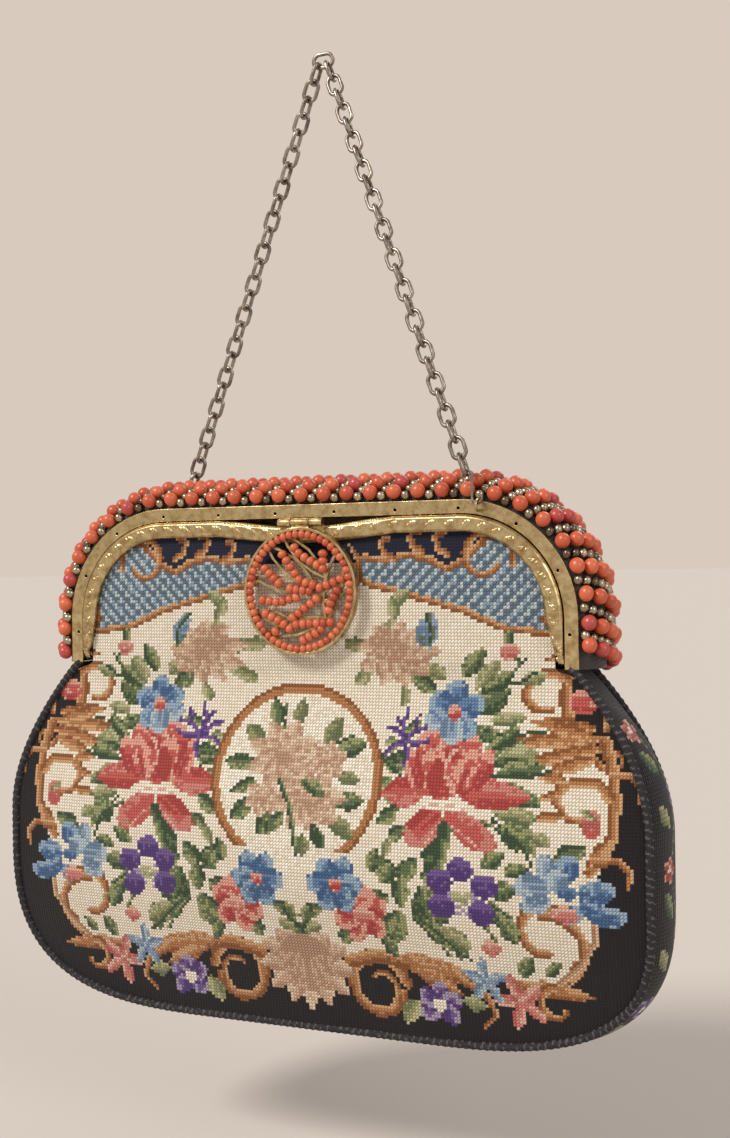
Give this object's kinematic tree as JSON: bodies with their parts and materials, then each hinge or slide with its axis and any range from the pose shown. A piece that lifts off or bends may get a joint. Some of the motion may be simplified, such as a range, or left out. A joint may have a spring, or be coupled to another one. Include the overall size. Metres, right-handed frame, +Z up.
{
  "type": "needlework frame handbag",
  "caption": "Small evening bag of floral needlework on a hinged gilt frame wound with coral and metal beads, with an openwork clasp and a cable chain handle",
  "frame": {"origin": "the point where the chain's top link bears on its nail, at the top of the hanging bag", "axes": "+Z up, the bag's longest extent with its chain; +Y from the clasp's side to the back, the shortest extent; +X to the right of someone facing the clasp"},
  "size_m": [0.1922, 0.0364, 0.2683],
  "materials": {
    "gilt_metal": "worn gilt, satin",
    "chain_metal": "tarnished plated metal",
    "coral": "polished coral",
    "metal_beads": "pale cut metal",
    "padding": "dark felt",
    "needlework": "cream ground with woven-in flowers, matt stitches",
    "black_needlework": "black stitches, matt",
    "lining": "plain silk, faded"
  },
  "bodies": {
    "chain": {"chain_top_link": "chain_metal", "chain_right": "chain_metal", "chain_left": "chain_metal", "hook_right": "chain_metal", "hook_left": "chain_metal"},
    "bag": {"outer_frame": "gilt_metal", "bead_bed": "padding", "coral_bead_rows": "coral", "metal_bead_rows": "metal_beads", "hinge_pin_left": "gilt_metal", "hinge_pin_right": "gilt_metal", "needlework_front": "needlework", "needlework_back": "needlework", "gusset": "black_needlework", "lining": "lining", "seam_cord_front": "black_needlework", "seam_cord_back": "black_needlework", "eye_right": "gilt_metal", "eye_left": "gilt_metal"},
    "front": {"front_frame": "gilt_metal", "needlework_flap": "needlework", "clasp_hinge": "gilt_metal", "clasp_pin": "gilt_metal"},
    "clasp": {"clasp_rim": "gilt_metal", "clasp_leaves": "gilt_metal", "clasp_rim_beads": "coral", "clasp_string_beads": "coral"}
  },
  "joints": [
    {"name": "bag_swing", "type": "hinge", "parent": "chain", "child": "bag", "pos_m": [-0.0012, -0.0045, -0.12623], "axis": [0.9697, -0.2444, 0], "range_deg": [-5, 5]},
    {"name": "front_open", "type": "hinge", "parent": "bag", "child": "front", "pos_m": [-0.0012, -0.0121, -0.16628], "axis": [1, 0, 0], "range_deg": [0, 60]},
    {"name": "clasp_lift", "type": "hinge", "parent": "front", "child": "clasp", "pos_m": [-0.0012, -0.0164, -0.13018], "axis": [-1, 0, 0], "range_deg": [0, 80]}
  ]
}
